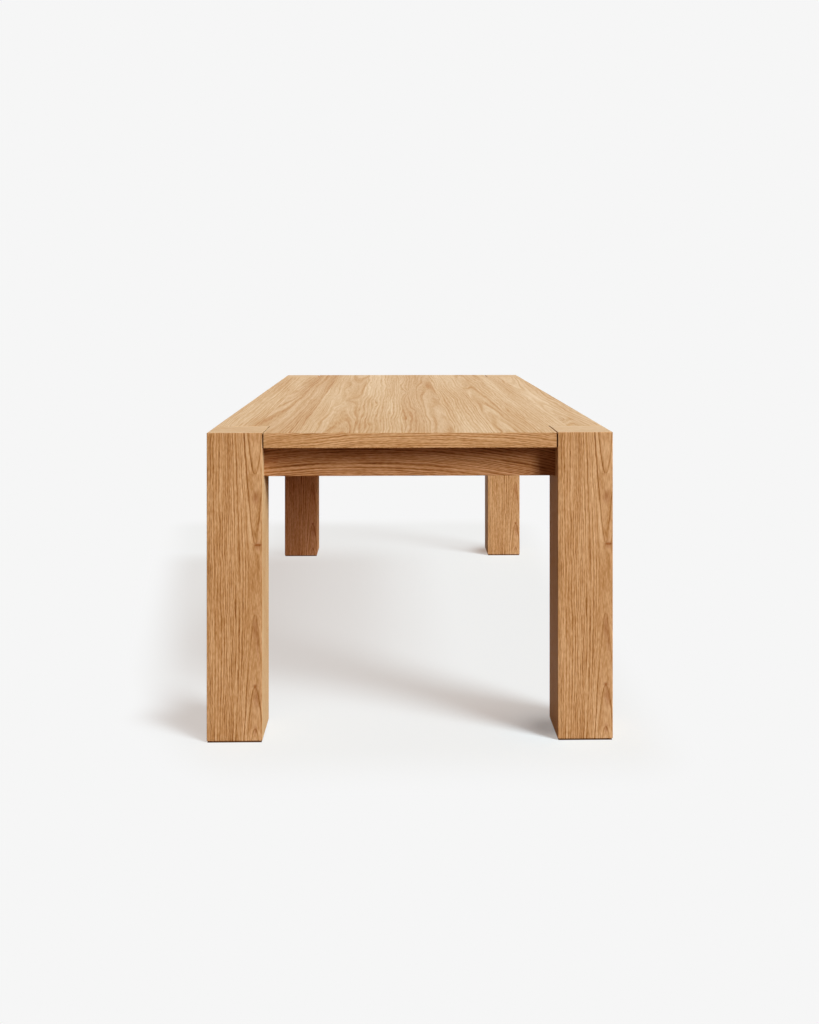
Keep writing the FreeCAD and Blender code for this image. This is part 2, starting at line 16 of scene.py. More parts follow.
import bpy
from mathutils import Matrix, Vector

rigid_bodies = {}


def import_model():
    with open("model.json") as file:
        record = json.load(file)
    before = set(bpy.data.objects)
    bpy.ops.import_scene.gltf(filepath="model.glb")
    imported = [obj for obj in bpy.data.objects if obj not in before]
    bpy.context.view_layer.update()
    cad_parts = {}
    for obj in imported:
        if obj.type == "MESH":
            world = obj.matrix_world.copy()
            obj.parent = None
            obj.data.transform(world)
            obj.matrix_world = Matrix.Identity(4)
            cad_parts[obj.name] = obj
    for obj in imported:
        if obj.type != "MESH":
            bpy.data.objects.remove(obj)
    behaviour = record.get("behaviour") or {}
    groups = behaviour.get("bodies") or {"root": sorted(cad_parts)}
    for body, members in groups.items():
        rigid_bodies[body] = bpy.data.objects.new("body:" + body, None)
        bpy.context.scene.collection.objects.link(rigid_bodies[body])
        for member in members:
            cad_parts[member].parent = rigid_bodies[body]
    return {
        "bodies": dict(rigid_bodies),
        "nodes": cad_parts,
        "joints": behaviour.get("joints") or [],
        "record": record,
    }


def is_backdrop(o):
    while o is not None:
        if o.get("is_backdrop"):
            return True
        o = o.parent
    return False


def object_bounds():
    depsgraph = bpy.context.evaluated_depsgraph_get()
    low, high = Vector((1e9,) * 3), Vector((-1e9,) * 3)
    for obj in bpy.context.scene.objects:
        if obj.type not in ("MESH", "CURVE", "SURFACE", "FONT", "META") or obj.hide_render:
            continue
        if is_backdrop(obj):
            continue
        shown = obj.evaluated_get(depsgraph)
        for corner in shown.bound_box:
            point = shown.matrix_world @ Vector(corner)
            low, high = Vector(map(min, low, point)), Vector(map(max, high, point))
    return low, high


LOG = logging.getLogger("parsons_table")
PICTURE_WIDTH = 819
PICTURE_HEIGHT = 1024
SIZE_DIGITS = 4

Colour = tuple[float, float, float, float]
Triple = tuple[float, float, float]
Span = tuple[float, float]
Stops = tuple[tuple[float, Colour], ...]
Link = bpy.types.NodeSocket


def tint(red: float, green: float, blue: float) -> Colour:
    """Turns a colour in display steps of 0 to 255 into the linear values that shaders use.

    Args:
        red: The red step.
        green: The green step.
        blue: The blue step.

    Returns:
        The linear colour, with an alpha of 1.
    """
    def linear(step: float) -> float:
        """One channel's linear value, by the usual curve of a display."""
        share = step / 255
        return share / 12.92 if share <= 0.04045 else ((share + 0.055) / 1.055) ** 2.4
    return linear(red), linear(green), linear(blue), 1.0


class Axis(Enum):
    """The frame's axes, by their place in a vector."""

    X = 0
    Y = 1
    Z = 2


class Blend(Enum):
    """The ways to blend two colours."""

    MIX = "MIX"
    MULTIPLY = "MULTIPLY"


class Value:
    """A number that varies over a surface: a socket on which Python's operators add Math nodes."""

    def __init__(self, graph: "Graph", socket: Link) -> None:
        """Wraps an output socket that gives a number."""
        self.graph = graph
        self.socket = socket

    def __add__(self, other: "Value | float") -> "Value":
        """This plus another."""
        return self.graph.math("ADD", self, other)

    def __radd__(self, other: "Value | float") -> "Value":
        """Another plus this."""
        return self.graph.math("ADD", other, self)

    def __sub__(self, other: "Value | float") -> "Value":
        """This minus another."""
        return self.graph.math("SUBTRACT", self, other)

    def __rsub__(self, other: "Value | float") -> "Value":
        """Another minus this."""
        return self.graph.math("SUBTRACT", other, self)

    def __mul__(self, other: "Value | float") -> "Value":
        """This times another."""
        return self.graph.math("MULTIPLY", self, other)

    def __rmul__(self, other: "Value | float") -> "Value":
        """Another times this."""
        return self.graph.math("MULTIPLY", other, self)

    def __truediv__(self, other: "Value | float") -> "Value":
        """This over another."""
        return self.graph.math("DIVIDE", self, other)

    def __rtruediv__(self, other: "Value | float") -> "Value":
        """Another over this."""
        return self.graph.math("DIVIDE", other, self)

    def root(self) -> "Value":
        """The square root."""
        return self.graph.math("SQRT", self)

    def whole(self) -> "Value":
        """The whole number below."""
        return self.graph.math("FLOOR", self)

    def part(self) -> "Value":
        """What is left above the whole number."""
        return self.graph.math("FRACT", self)

    def at_least(self, other: "Value | float") -> "Value":
        """The larger of this and another."""
        return self.graph.math("MAXIMUM", self, other)

    def at_most(self, other: "Value | float") -> "Value":
        """The smaller of this and another."""
        return self.graph.math("MINIMUM", self, other)

    def size(self) -> "Value":
        """How far from zero this is."""
        return self.graph.math("ABSOLUTE", self)

    def bell(self) -> "Value":
        """A bell curve: 1 at zero, and falling off on both sides."""
        return self.graph.math("EXPONENT", self * self * -1.0)

    def rise(self, low: float, high: float, start: float = 0.0) -> "Value":
        """An even S up to 1.

        Args:
            low: Where it starts.
            high: Where it reaches 1.
            start: What it starts from.

        Returns:
            The S of this value.
        """
        made = self.graph.node("MapRange", {"interpolation_type": "SMOOTHSTEP"},
                               {"Value": self, "From Min": low, "From Max": high})
        rising = Value(self.graph, made.outputs["Result"])
        return rising * (1 - start) + start if start else rising


class Graph:
    """The nodes of one material or of the world."""

    def __init__(self, tree: bpy.types.NodeTree) -> None:
        """Starts an empty graph."""
        self.tree = tree
        tree.nodes.clear()

    def node(self, kind: str, settings: Mapping[str, Any] | None = None,
             inputs: Mapping[str, Any] | None = None) -> bpy.types.Node:
        """Adds a node.

        Args:
            kind: The node's type, without its prefix.
            settings: The node's own settings, set first. "stops" fills a colour ramp.
            inputs: What goes into each socket, by its identifier or name: a number, a colour or a link.

        Returns:
            The new node.
        """
        made = self.tree.nodes.new(f"ShaderNode{kind}")
        for name, setting in (settings or {}).items():
            if name == "stops":
                self._fill_ramp(made.color_ramp, setting)
            else:
                setattr(made, name, setting)
        for name, source in (inputs or {}).items():
            socket = next((s for s in made.inputs if s.identifier == name), None) or made.inputs[name]
            if isinstance(source, Value):
                source = source.socket
            if isinstance(source, Link):
                self.tree.links.new(source, socket)
            else:
                socket.default_value = source
        return made

    @staticmethod
    def _fill_ramp(ramp: bpy.types.ColorRamp, stops: Stops) -> None:
        """Sets a colour ramp's stops.

        Args:
            ramp: The ramp, which starts with two stops.
            stops: The place and colour of each stop, in order.
        """
        while len(ramp.elements) < len(stops):
            ramp.elements.new(0.5)
        for element, (place, colour) in zip(ramp.elements, stops):
            element.position = place
            element.color = colour

    def math(self, operation: str, *values: Value | float) -> Value:
        """Adds a Math node for an operation on one or two numbers."""
        made = self.node("Math", {"operation": operation}, dict(zip(("Value", "Value_001"), values)))
        return Value(self, made.outputs[0])

    def joined(self, first: Value | float, second: Value | float, third: Value | float) -> Link:
        """Joins three numbers to a vector."""
        return self.node("CombineXYZ", inputs={"X": first, "Y": second, "Z": third}).outputs["Vector"]

    def place(self) -> Link:
        """Where a surface point is, in the frame's axes."""
        return self.node("TexCoord").outputs["Object"]

    def parts(self) -> tuple[Value, Value, Value]:
        """The X, Y and Z of where a surface point is."""
        made = self.node("SeparateXYZ", inputs={"Vector": self.place()})
        return tuple(Value(self, made.outputs[name]) for name in "XYZ")

    def noise(self, place: Link, scales: Triple, shift: Triple = (0.0, 0.0, 0.0), detail: float = 1.0,
              roughness: float = 0.5) -> Value:
        """Smooth noise round 0, mostly within a quarter of it.

        Args:
            place: The vector that it varies over.
            scales: How fast it varies along each of the vector's parts.
            shift: Moves the noise, so that two of them differ.
            detail: How many finer layers there are.
            roughness: How strong they are.

        Returns:
            The noise.
        """
        moved = self.node("VectorMath", {"operation": "MULTIPLY_ADD"},
                          {"Vector": place, "Vector_001": scales, "Vector_002": shift}).outputs["Vector"]
        made = self.node("TexNoise", {"noise_dimensions": "3D"},
                         {"Vector": moved, "Scale": 1.0, "Detail": detail, "Roughness": roughness})
        return Value(self, made.outputs["Fac"]) - 0.5

    def noise_along(self, value: Value) -> Value:
        """Smooth noise round 0 that varies with one number."""
        made = self.node("TexNoise", {"noise_dimensions": "1D"}, {"W": value, "Scale": 1.0, "Detail": 0.0})
        return Value(self, made.outputs["Fac"]) - 0.5

    def ramp(self, value: Value, stops: Stops) -> Link:
        """Turns a number from 0 to 1 into a colour between stops."""
        return self.node("ValToRGB", {"stops": stops}, {"Fac": value}).outputs["Color"]

    def mixed(self, share: Value | float, first: Any, second: Any, blend: Blend = Blend.MIX) -> Link:
        """Mixes two colours.

        Args:
            share: How much of the second.
            first: The first colour or its link.
            second: The second colour or its link.
            blend: How they are blended.

        Returns:
            The mixed colour's socket.
        """
        made = self.node("Mix", {"data_type": "RGBA", "blend_type": blend.value},
                         {"Factor_Float": share, "A_Color": first, "B_Color": second})
        return next(s for s in made.outputs if s.identifier == "Result_Color")

    def bump(self, height: Value, depth: float) -> Link:
        """Bends the normal to a height, of which 1 stands for this many metres."""
        inputs = {"Height": height, "Distance": depth, "Strength": BUMP_STRENGTH}
        return self.node("Bump", inputs=inputs).outputs["Normal"]

    def matt(self, colour: Colour) -> Link:
        """The shader of a matt surface."""
        return self.node("BsdfDiffuse", inputs={"Color": colour}).outputs["BSDF"]

    def glowing(self, colour: Colour) -> Link:
        """The shader of a surface that gives off a colour."""
        return self.node("Emission", inputs={"Color": colour}).outputs["Emission"]

    def mixed_shader(self, share: Value | Link, first: Link, second: Link) -> Link:
        """Mixes two shaders, by the share of the second."""
        inputs = {"Fac": share, "Shader": first, "Shader_001": second}
        return self.node("MixShader", inputs=inputs).outputs["Shader"]

    def looked_at(self) -> Value:
        """Tells what is looked at from what only gives light.

        Returns:
            1 for what the camera sees, itself or in or through something else, and 0 for the rest.
        """
        path = self.node("LightPath").outputs
        seen = Value(self, path["Is Camera Ray"]) + Value(self, path["Is Glossy Ray"])
        return seen + Value(self, path["Is Transmission Ray"])


@dataclass(frozen=True)
class Finish:
    """A finish, which makes one material with a Principled shader."""

    name: str

    def surface(self, graph: Graph) -> dict[str, Any]:
        """Works out what goes into the shader's sockets.

        Args:
            graph: The material's graph.

        Returns:
            A number, colour or link for each socket.
        """
        raise NotImplementedError

    def material(self) -> bpy.types.Material:
        """Makes the material.

        Returns:
            The new material.
        """
        made = bpy.data.materials.new(self.name)
        made.use_nodes = True
        graph = Graph(made.node_tree)
        shader = graph.node("BsdfPrincipled", inputs=self.surface(graph))
        graph.node("OutputMaterial", inputs={"Surface": shader.outputs["BSDF"]})
        return made


SEED_STRIDES: Triple = (3.17, 1.73, 2.39)


@dataclass(frozen=True)
class Layer:
    """A layer of noise in the wood.

    It varies over a vector at its own scales, and its step moves it apart from the others. Its detail is how
    many finer layers it holds, its roughness how strong they are, and its weight how much it lightens.
    """

    scales: Triple
    step: float
    detail: float = 1.0
    roughness: float = 0.5
    weight: float = 0.0

    def shift(self, seed: float) -> Triple:
        """How far it is moved in a board with this seed."""
        x, y, z = (seed * stride for stride in SEED_STRIDES)
        return x + self.step, y - self.step, z + 2 * self.step


# How the log is bent: its rings sway and ripple up the trunk, its fibres tremble and its heart wanders.
SWAY = Layer((8.0, 2.4, 8.0), 1.0)
RIPPLE = Layer((16.0, 11.0, 16.0), 2.0)
TREMBLE = Layer((80.0, 22.0, 80.0), 8.0)
SWELL = Layer((10.0, 3.0, 10.0), 3.0)
SWAY_SHARE = 6
RIPPLE_SHARE = 4
SWELL_SHARE = 2
LEAST_DEPTH = 0.003
# How its colour varies, from clouds down to single fibres.
CLOUD = Layer((14.0, 3.5, 14.0), 7.0, detail=2.0)
BAND = Layer((60.0, 1.8, 16.0), 6.0, detail=2.0, weight=0.18)
STREAK = Layer((180.0, 5.0, 26.0), 5.0, detail=2.0, roughness=0.6, weight=0.12)
THREAD = Layer((330.0, 9.0, 60.0), 9.0, weight=0.50)
FLECK = Layer((480.0, 75.0, 480.0), 12.0, weight=0.58)
FIBRE = Layer((1100.0, 50.0, 1100.0), 4.0, weight=0.12)
MIDDLE_SHADE = 0.63
# A ring's line of pores: where in the year it rises and fades, how uneven the years are, and how it wears.
LINE_RISE: Span = (0.0, 0.18)
LINE_FADE: Span = (0.22, 0.75)
YEAR_PACE = 0.22
YEAR_DRIFT = 2.4
WEAR_STEP = 7.3
WEAR_PACE = 9.0
WEAR_SPREAD = 1.8
WEAR_MIDDLE = 0.75
WEAR_LIMITS: Span = (0.1, 1.2)
# Where on a fibre the pores open, and what they and the lines do to shade, gloss and relief.
PORE_EDGE: Span = (0.05, 0.16)
PORE_DARK = 0.06
PORE_DARK_IN_LINE = 0.12
MATT = 0.50
PORE_MATT = 0.10
LINE_MATT = 0.06
PORE_HEIGHT = -0.5
LINE_HEIGHT = 0.35
THREAD_HEIGHT = 0.5
RELIEF = 0.0003
BUMP_STRENGTH = 0.6
# Boards with bold lines are calm at the heart, and full again this far from it.
CALM_SHARE = 0.15
CALM_REACH = 0.07
CALM_SWELL = 0.2
CALM_LINES: Span = (0.012, 0.034)
# A bold line: how narrow and dark it is and how it fades, with a pale line just outside.
BOLD_SHARPNESS = 700.0
BOLD_DARK = 0.8
BOLD_TREMOR = 0.003
BOLD_WIDENING: Span = (0.0, 0.002)
BOLD_SPREAD = 2.0
BOLD_MIDDLE = 0.9
BOLD_LESS = 0.25
BOLD_LESS_FROM: Span = (-0.002, 0.004)
PALE_OFFSET = 0.005
PALE_SHARPNESS = 260.0
PALE_LIGHT = 0.10
# How fast a knot's pull on the rings and its darkness fall off, and the colour that darkens knots and patches
# of painted shade.
KNOT_PULL_FALL = 0.45
KNOT_DARK_FALL = 1.1
KNOT_AND_PAINTED_SHADE = tint(196, 160, 132)
# Painted shade in a narrow gap: its colour, and how softly it ends.
PAINTED_GAP_SHADE = tint(130, 90, 70)
GAP_SOFT_LOW = 0.001
GAP_SOFT_HIGH = 0.003

# The wood's shades. The pale stops are lighter and less saturated: partly a paler wood, partly a painted sheen,
# for the top, the caps and the inner side panels.
SHADE_PLACES = (0.00, 0.28, 0.50, 0.72, 1.00)
OAK_STOPS: Stops = tuple(zip(SHADE_PLACES, (
    tint(114, 66, 28), tint(155, 107, 59), tint(185, 139, 89), tint(208, 167, 121), tint(232, 199, 156))))
OAK_PALE_SHEEN_STOPS: Stops = tuple(zip(SHADE_PLACES, (
    tint(150, 98, 46), tint(182, 134, 80), tint(200, 166, 122), tint(217, 191, 153), tint(234, 213, 183))))


@dataclass(frozen=True)
class Knot:
    """A knot, a crotch, a faint swirl or a darker patch in the grain of a board, or a patch of painted shade.

    Attributes:
        across: Where it lies on the axis across the board.
        along: Where it lies on the axis of the grain.
        width: How wide it is.
        length: How long it is.
        pull: How far it pulls the rings.
        dark: How dark it is, from 0 to 1.
    """

    across: float
    along: float
    width: float = 0.006
    length: float = 0.05
    pull: float = 0.012
    dark: float = 0.15


@dataclass(frozen=True)
class Oak(Finish):
    """An oak board, or a strip of its veneer, with a matt oil finish.

    The heart is the line in the log that its rings go round. It passes under the face at a depth that changes
    along the board, and where it does, the rings show as arches. Far to the side of it they show as lines.

    Attributes:
        grain: The axis that the trunk runs along.
        across: The axis across the board.
        heart: Where the heart lies on that axis.
        face: Where the board's face lies on the third axis.
        depth: How deep the heart lies at the turn.
        ring: How wide a year's ring is.
        seed: Sets the board's noise apart.
        turn: Where along the grain the depth is measured.
        lean: How much deeper the heart gets per metre.
        bulge: How much less deep, with the square of the way along.
        bow: How far the rings bend across, with that square.
        wave: How far the rings sway.
        tremor: How far the fibres tremble.
        reach: How far the figure is drawn out along the grain.
        tone: How much lighter than the middle shade it is.
        contrast: How strong its figure is.
        broad: How strong its clouds are.
        lines: How dark its rings' lines are.
        shine: How much it mirrors.
        stops: The colours of its shades.
        stain_and_painted_light: What its colour is multiplied by, for a stain of the wood and, on the legs'
            inner panels and the notch lippings, for painted light and shade.
        bold: How far from the heart the rings with a bold line lie.
        knots_and_painted_shade: Its knots, and on the front rail its patches of painted shade.
        painted_shade_between: The heights between which a gap's shade is painted on it.
    """

    grain: Axis
    across: Axis
    heart: float
    face: float
    depth: float
    ring: float
    seed: float
    turn: float = 0.0
    lean: float = 0.0
    bulge: float = 0.0
    bow: float = 0.0
    wave: float = 0.003
    tremor: float = 0.004
    reach: float = 1.0
    tone: float = 0.0
    contrast: float = 1.0
    broad: float = 0.24
    lines: float = 0.32
    shine: float = 0.06
    stops: Stops = OAK_STOPS
    stain_and_painted_light: Colour | None = None
    bold: tuple[float, ...] = ()
    knots_and_painted_shade: tuple[Knot, ...] = ()
    painted_shade_between: Span | None = None

    def _laid(self, graph: Graph, place: Link, layer: Layer) -> Value:
        """Lays a layer of noise over a vector, shifted by this board's seed."""
        return graph.noise(place, layer.scales, layer.shift(self.seed), layer.detail, layer.roughness)

    def _round_knots(self, radius: Value, across: Value, run: Value) -> tuple[Value, Value | float]:
        """Leads the rings round the knots, and the patches of painted shade with them.

        Args:
            radius: How far from the heart a point lies.
            across: How far across the heart it lies.
            run: How far along from the turn it is.

        Returns:
            The radius with the knots' pull, and how dark the knots and the patches of painted shade are there.
        """
        dark: Value | float = 0.0
        for knot in self.knots_and_painted_shade:
            sideways = (across - knot.across + self.heart) * (1 / knot.width)
            lengthways = (run - knot.along + self.turn) * (1 / knot.length)
            spread = (sideways * sideways + lengthways * lengthways).root()
            radius = radius + (spread * KNOT_PULL_FALL).bell() * knot.pull
            dark = (spread * KNOT_DARK_FALL).bell() * knot.dark + dark
        return radius, dark

    def _ring_line(self, graph: Graph, radius: Value, drawn: Value) -> Value:
        """Draws the line of open pores that each ring starts with.

        Args:
            graph: The material's graph.
            radius: How far from the heart a point lies.
            drawn: How far along it is.

        Returns:
            How strong the line is there.
        """
        pace = YEAR_PACE / self.ring
        years = radius / self.ring + graph.noise_along(radius * pace + self.seed) * YEAR_DRIFT
        age = years.part()
        line = age.rise(*LINE_RISE) * (1 - age.rise(*LINE_FADE))
        place = graph.joined(years.whole() * WEAR_STEP, drawn * WEAR_PACE, self.seed)
        worn = graph.noise(place, (1.0, 1.0, 1.0))
        least, most = WEAR_LIMITS
        return line * (worn * WEAR_SPREAD + WEAR_MIDDLE).at_least(least).at_most(most)

    def _bold_lines(self, line: Value, swayed: Value, deep: Value, tremble: Value,
                    swell: Value) -> tuple[Value, Value]:
        """Adds the bold line of some rings, each with a pale line outside.

        Args:
            line: How strong the rings' lines are.
            swayed: How far across the heart a point lies.
            deep: How deep under it the heart lies.
            tremble: The tremble of the fibres.
            swell: The noise that the bold lines come and go with.

        Returns:
            How strong the dark and the pale lines are there.
        """
        line = line * swayed.size().rise(*CALM_LINES, CALM_SHARE)
        pale: Value | float = 0.0
        for ring in self.bold:
            width = (ring * ring - deep * deep).at_least(0.0).root()
            beside = swayed.size() - width + tremble * BOLD_TREMOR
            full = swell * BOLD_SPREAD + BOLD_MIDDLE - swayed.rise(*BOLD_LESS_FROM) * BOLD_LESS
            there = width.rise(*BOLD_WIDENING) * full
            line = line + (beside * BOLD_SHARPNESS).bell() * there * BOLD_DARK
            pale = ((beside - PALE_OFFSET) * PALE_SHARPNESS).bell() * there + pale
        return line, pale

    def _coloured(self, graph: Graph, shade: Value, knot_and_shade_dark: Value | float, height: Value) -> Link:
        """Turns a shade into the board's colour.

        Args:
            graph: The material's graph.
            shade: How light the wood is, from 0 to 1.
            knot_and_shade_dark: How dark the knots and the patches of painted shade are.
            height: How high above the floor a point is.

        Returns:
            The colour's socket.
        """
        colour = graph.ramp(shade, self.stops)
        if self.stain_and_painted_light:
            colour = graph.mixed(1.0, colour, self.stain_and_painted_light, Blend.MULTIPLY)
        # Knots darken the colour, and so do the front rail's patches of painted shade.
        if self.knots_and_painted_shade:
            colour = graph.mixed(knot_and_shade_dark, colour, KNOT_AND_PAINTED_SHADE, Blend.MULTIPLY)
        # Painted shade: between these heights, beside a narrow gap, the colour is darkened.
        if self.painted_shade_between:
            low, high = self.painted_shade_between
            gap_shade_share = height.rise(low - GAP_SOFT_LOW, low) * (1 - height.rise(high - GAP_SOFT_HIGH, high))
            colour = graph.mixed(gap_shade_share, colour, PAINTED_GAP_SHADE, Blend.MULTIPLY)
        return colour

    def surface(self, graph: Graph) -> dict[str, Any]:
        """Works out the board's colour, gloss and pores.

        Args:
            graph: The material's graph.

        Returns:
            A number, colour or link for each of the shader's sockets.
        """
        place = graph.parts()
        into_axis = next(axis for axis in Axis if axis not in (self.grain, self.across))
        run = place[self.grain.value] - self.turn
        into = place[into_axis.value] - self.face
        across = place[self.across.value] - self.heart
        if self.bow:
            across = across - run * run * self.bow
        drawn = run * (1 / self.reach)
        plain = graph.joined(across, drawn, into)

        # The log isn't straight: its rings sway on their way up the trunk, and its fibres tremble.
        tremble = self._laid(graph, plain, TREMBLE)
        swell = self._laid(graph, plain, SWELL)
        drift = self._laid(graph, plain, SWAY) * (SWAY_SHARE * self.wave)
        drift = drift + self._laid(graph, plain, RIPPLE) * (RIPPLE_SHARE * self.wave) + tremble * self.tremor
        if self.bold:
            drift = drift * across.size().rise(0.0, CALM_REACH, CALM_SHARE)
        swayed = across + drift
        wander = SWELL_SHARE * self.wave * (CALM_SWELL if self.bold else 1.0)
        deep = run * self.lean - run * run * self.bulge + swell * wander + self.depth
        deep = deep.at_least(LEAST_DEPTH) + into
        radius, knot_and_shade_dark = self._round_knots((swayed * swayed + deep * deep).root(), across, run)
        line = self._ring_line(graph, radius, drawn)
        pale_line: Value | float = 0.0
        if self.bold:
            line, pale_line = self._bold_lines(line, swayed, deep, tremble, swell)

        # Streaks of light and dark wood follow the rings, and the fibres lie along the trunk.
        figure = graph.joined(radius, drawn, swayed)
        fibres = graph.joined(swayed, drawn, into)
        thread = self._laid(graph, figure, THREAD)
        fibre = self._laid(graph, fibres, FIBRE)
        pores = fibre.rise(*PORE_EDGE)
        shade = self._laid(graph, figure, STREAK) * STREAK.weight + thread * THREAD.weight
        shade = shade + self._laid(graph, figure, BAND) * BAND.weight
        shade = shade + self._laid(graph, fibres, FLECK) * FLECK.weight + fibre * FIBRE.weight
        shade = shade - line * self.lines - pores * (line * PORE_DARK_IN_LINE + PORE_DARK)
        shade = shade * self.contrast + self._laid(graph, plain, CLOUD) * self.broad
        shade = shade + pale_line * PALE_LIGHT + (MIDDLE_SHADE + self.tone)
        relief = pores * PORE_HEIGHT - line * LINE_HEIGHT + thread * THREAD_HEIGHT
        return {
            "Base Color": self._coloured(graph, shade, knot_and_shade_dark, place[Axis.Z.value]),
            "Roughness": pores * PORE_MATT + line * LINE_MATT + MATT,
            "Specular IOR Level": self.shine,
            "Normal": graph.bump(relief, RELIEF),
        }


# How many grains wide a speckled finish's patches are, and what grains and patches do to tone and gloss.
PATCH_GRAINS = 14
PATCH_SHIFT: Triple = (3.0, 1.0, 2.0)
GRAIN_TONE = 1.5
PATCH_TONE = 1.2
MIDDLE_TONE = 0.5
TONE_LIMITS: Span = (0.1, 0.9)
GRAIN_MATT = 0.25
PATCH_MATT = 0.15


@dataclass(frozen=True)
class Speckled(Finish):
    """A finish of two tones in a fine even grain, such as board, nylon or plated metal.

    Its size is that of its grains, its depth that of its relief, and its gloss and metallic go from 0 to 1.
    """

    light: Colour
    dark: Colour
    size: float
    gloss: float
    depth: float
    metallic: float = 0.0

    def surface(self, graph: Graph) -> dict[str, Any]:
        """Works out the finish's colour, gloss and fine relief.

        Args:
            graph: The material's graph.

        Returns:
            A number, colour or link for each of the shader's sockets.
        """
        place = graph.place()
        scale = 1.0 / self.size
        grain = graph.noise(place, (scale,) * 3, detail=3.0, roughness=0.6)
        patch = graph.noise(place, (scale / PATCH_GRAINS,) * 3, PATCH_SHIFT, detail=2.0)
        share = (grain * GRAIN_TONE + patch * PATCH_TONE + MIDDLE_TONE).rise(*TONE_LIMITS)
        return {
            "Base Color": graph.mixed(share, self.dark, self.light),
            "Metallic": self.metallic,
            "Roughness": grain * GRAIN_MATT + patch * PATCH_MATT + (1 - self.gloss),
            "Normal": graph.bump(grain, self.depth),
        }


SOFTWOOD = Speckled("planed_softwood", tint(222, 190, 146), tint(196, 156, 106), 0.004, gloss=0.35,
                    depth=0.0002)
FIBRE_BOARD = Speckled("wood_fibre_board", tint(166, 132, 96), tint(134, 102, 72), 0.0012, gloss=0.25,
                       depth=0.0001)
ZINC = Speckled("zinc_plated_steel", tint(205, 208, 212), tint(176, 180, 186), 0.0015, gloss=0.62,
                depth=0.00003, metallic=1.0)
BLACK = Speckled("powder_coated_steel", tint(62, 62, 64), tint(44, 44, 46), 0.0008, gloss=0.5, depth=0.0001)
BRASS = Speckled("turned_brass", tint(214, 180, 104), tint(184, 146, 76), 0.002, gloss=0.6, depth=0.00005,
                 metallic=1.0)
BEECH = Speckled("beech_dowel", tint(214, 176, 134), tint(186, 142, 100), 0.0012, gloss=0.4, depth=0.0001)
NYLON = Speckled("moulded_nylon", tint(46, 40, 36), tint(34, 30, 27), 0.001, gloss=0.5, depth=0.00008)


def dress(frame: Mapping[str, Any], node: str, material: bpy.types.Material) -> None:
    """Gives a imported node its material, and reports it.

    Args:
        frame: The loaded frame.
        node: The node's name.
        material: What it is made of.
    """
    thing = frame["nodes"][node]
    if not thing.material_slots:
        thing.data.materials.append(material)
    for slot in thing.material_slots:
        slot.material = material
    LOG.info("%s: %s", node, material.name)


@dataclass(frozen=True)
class TableSize:
    """The table's overall size. It stands on the floor, evenly round the middle."""

    half_width: float
    half_length: float
    height: float


class Assembly:
    """A part of the table: boards that show, and plain pieces behind them."""

    plain_nodes: tuple[str, ...] = ()

    def boards(self) -> Iterator[tuple[str, Oak]]:
        """The cut of each board that shows.

        Returns:
            Each node's name with its oak.
        """
        raise NotImplementedError

    def dress(self, frame: Mapping[str, Any], plain: bpy.types.Material) -> None:
        """Gives the boards and the plain pieces their materials.

        Args:
            frame: The loaded frame.
            plain: What the plain pieces are made of.
        """
        for node, oak in self.boards():
            dress(frame, node, oak.material())
        for node in self.plain_nodes:
            dress(frame, node, plain)


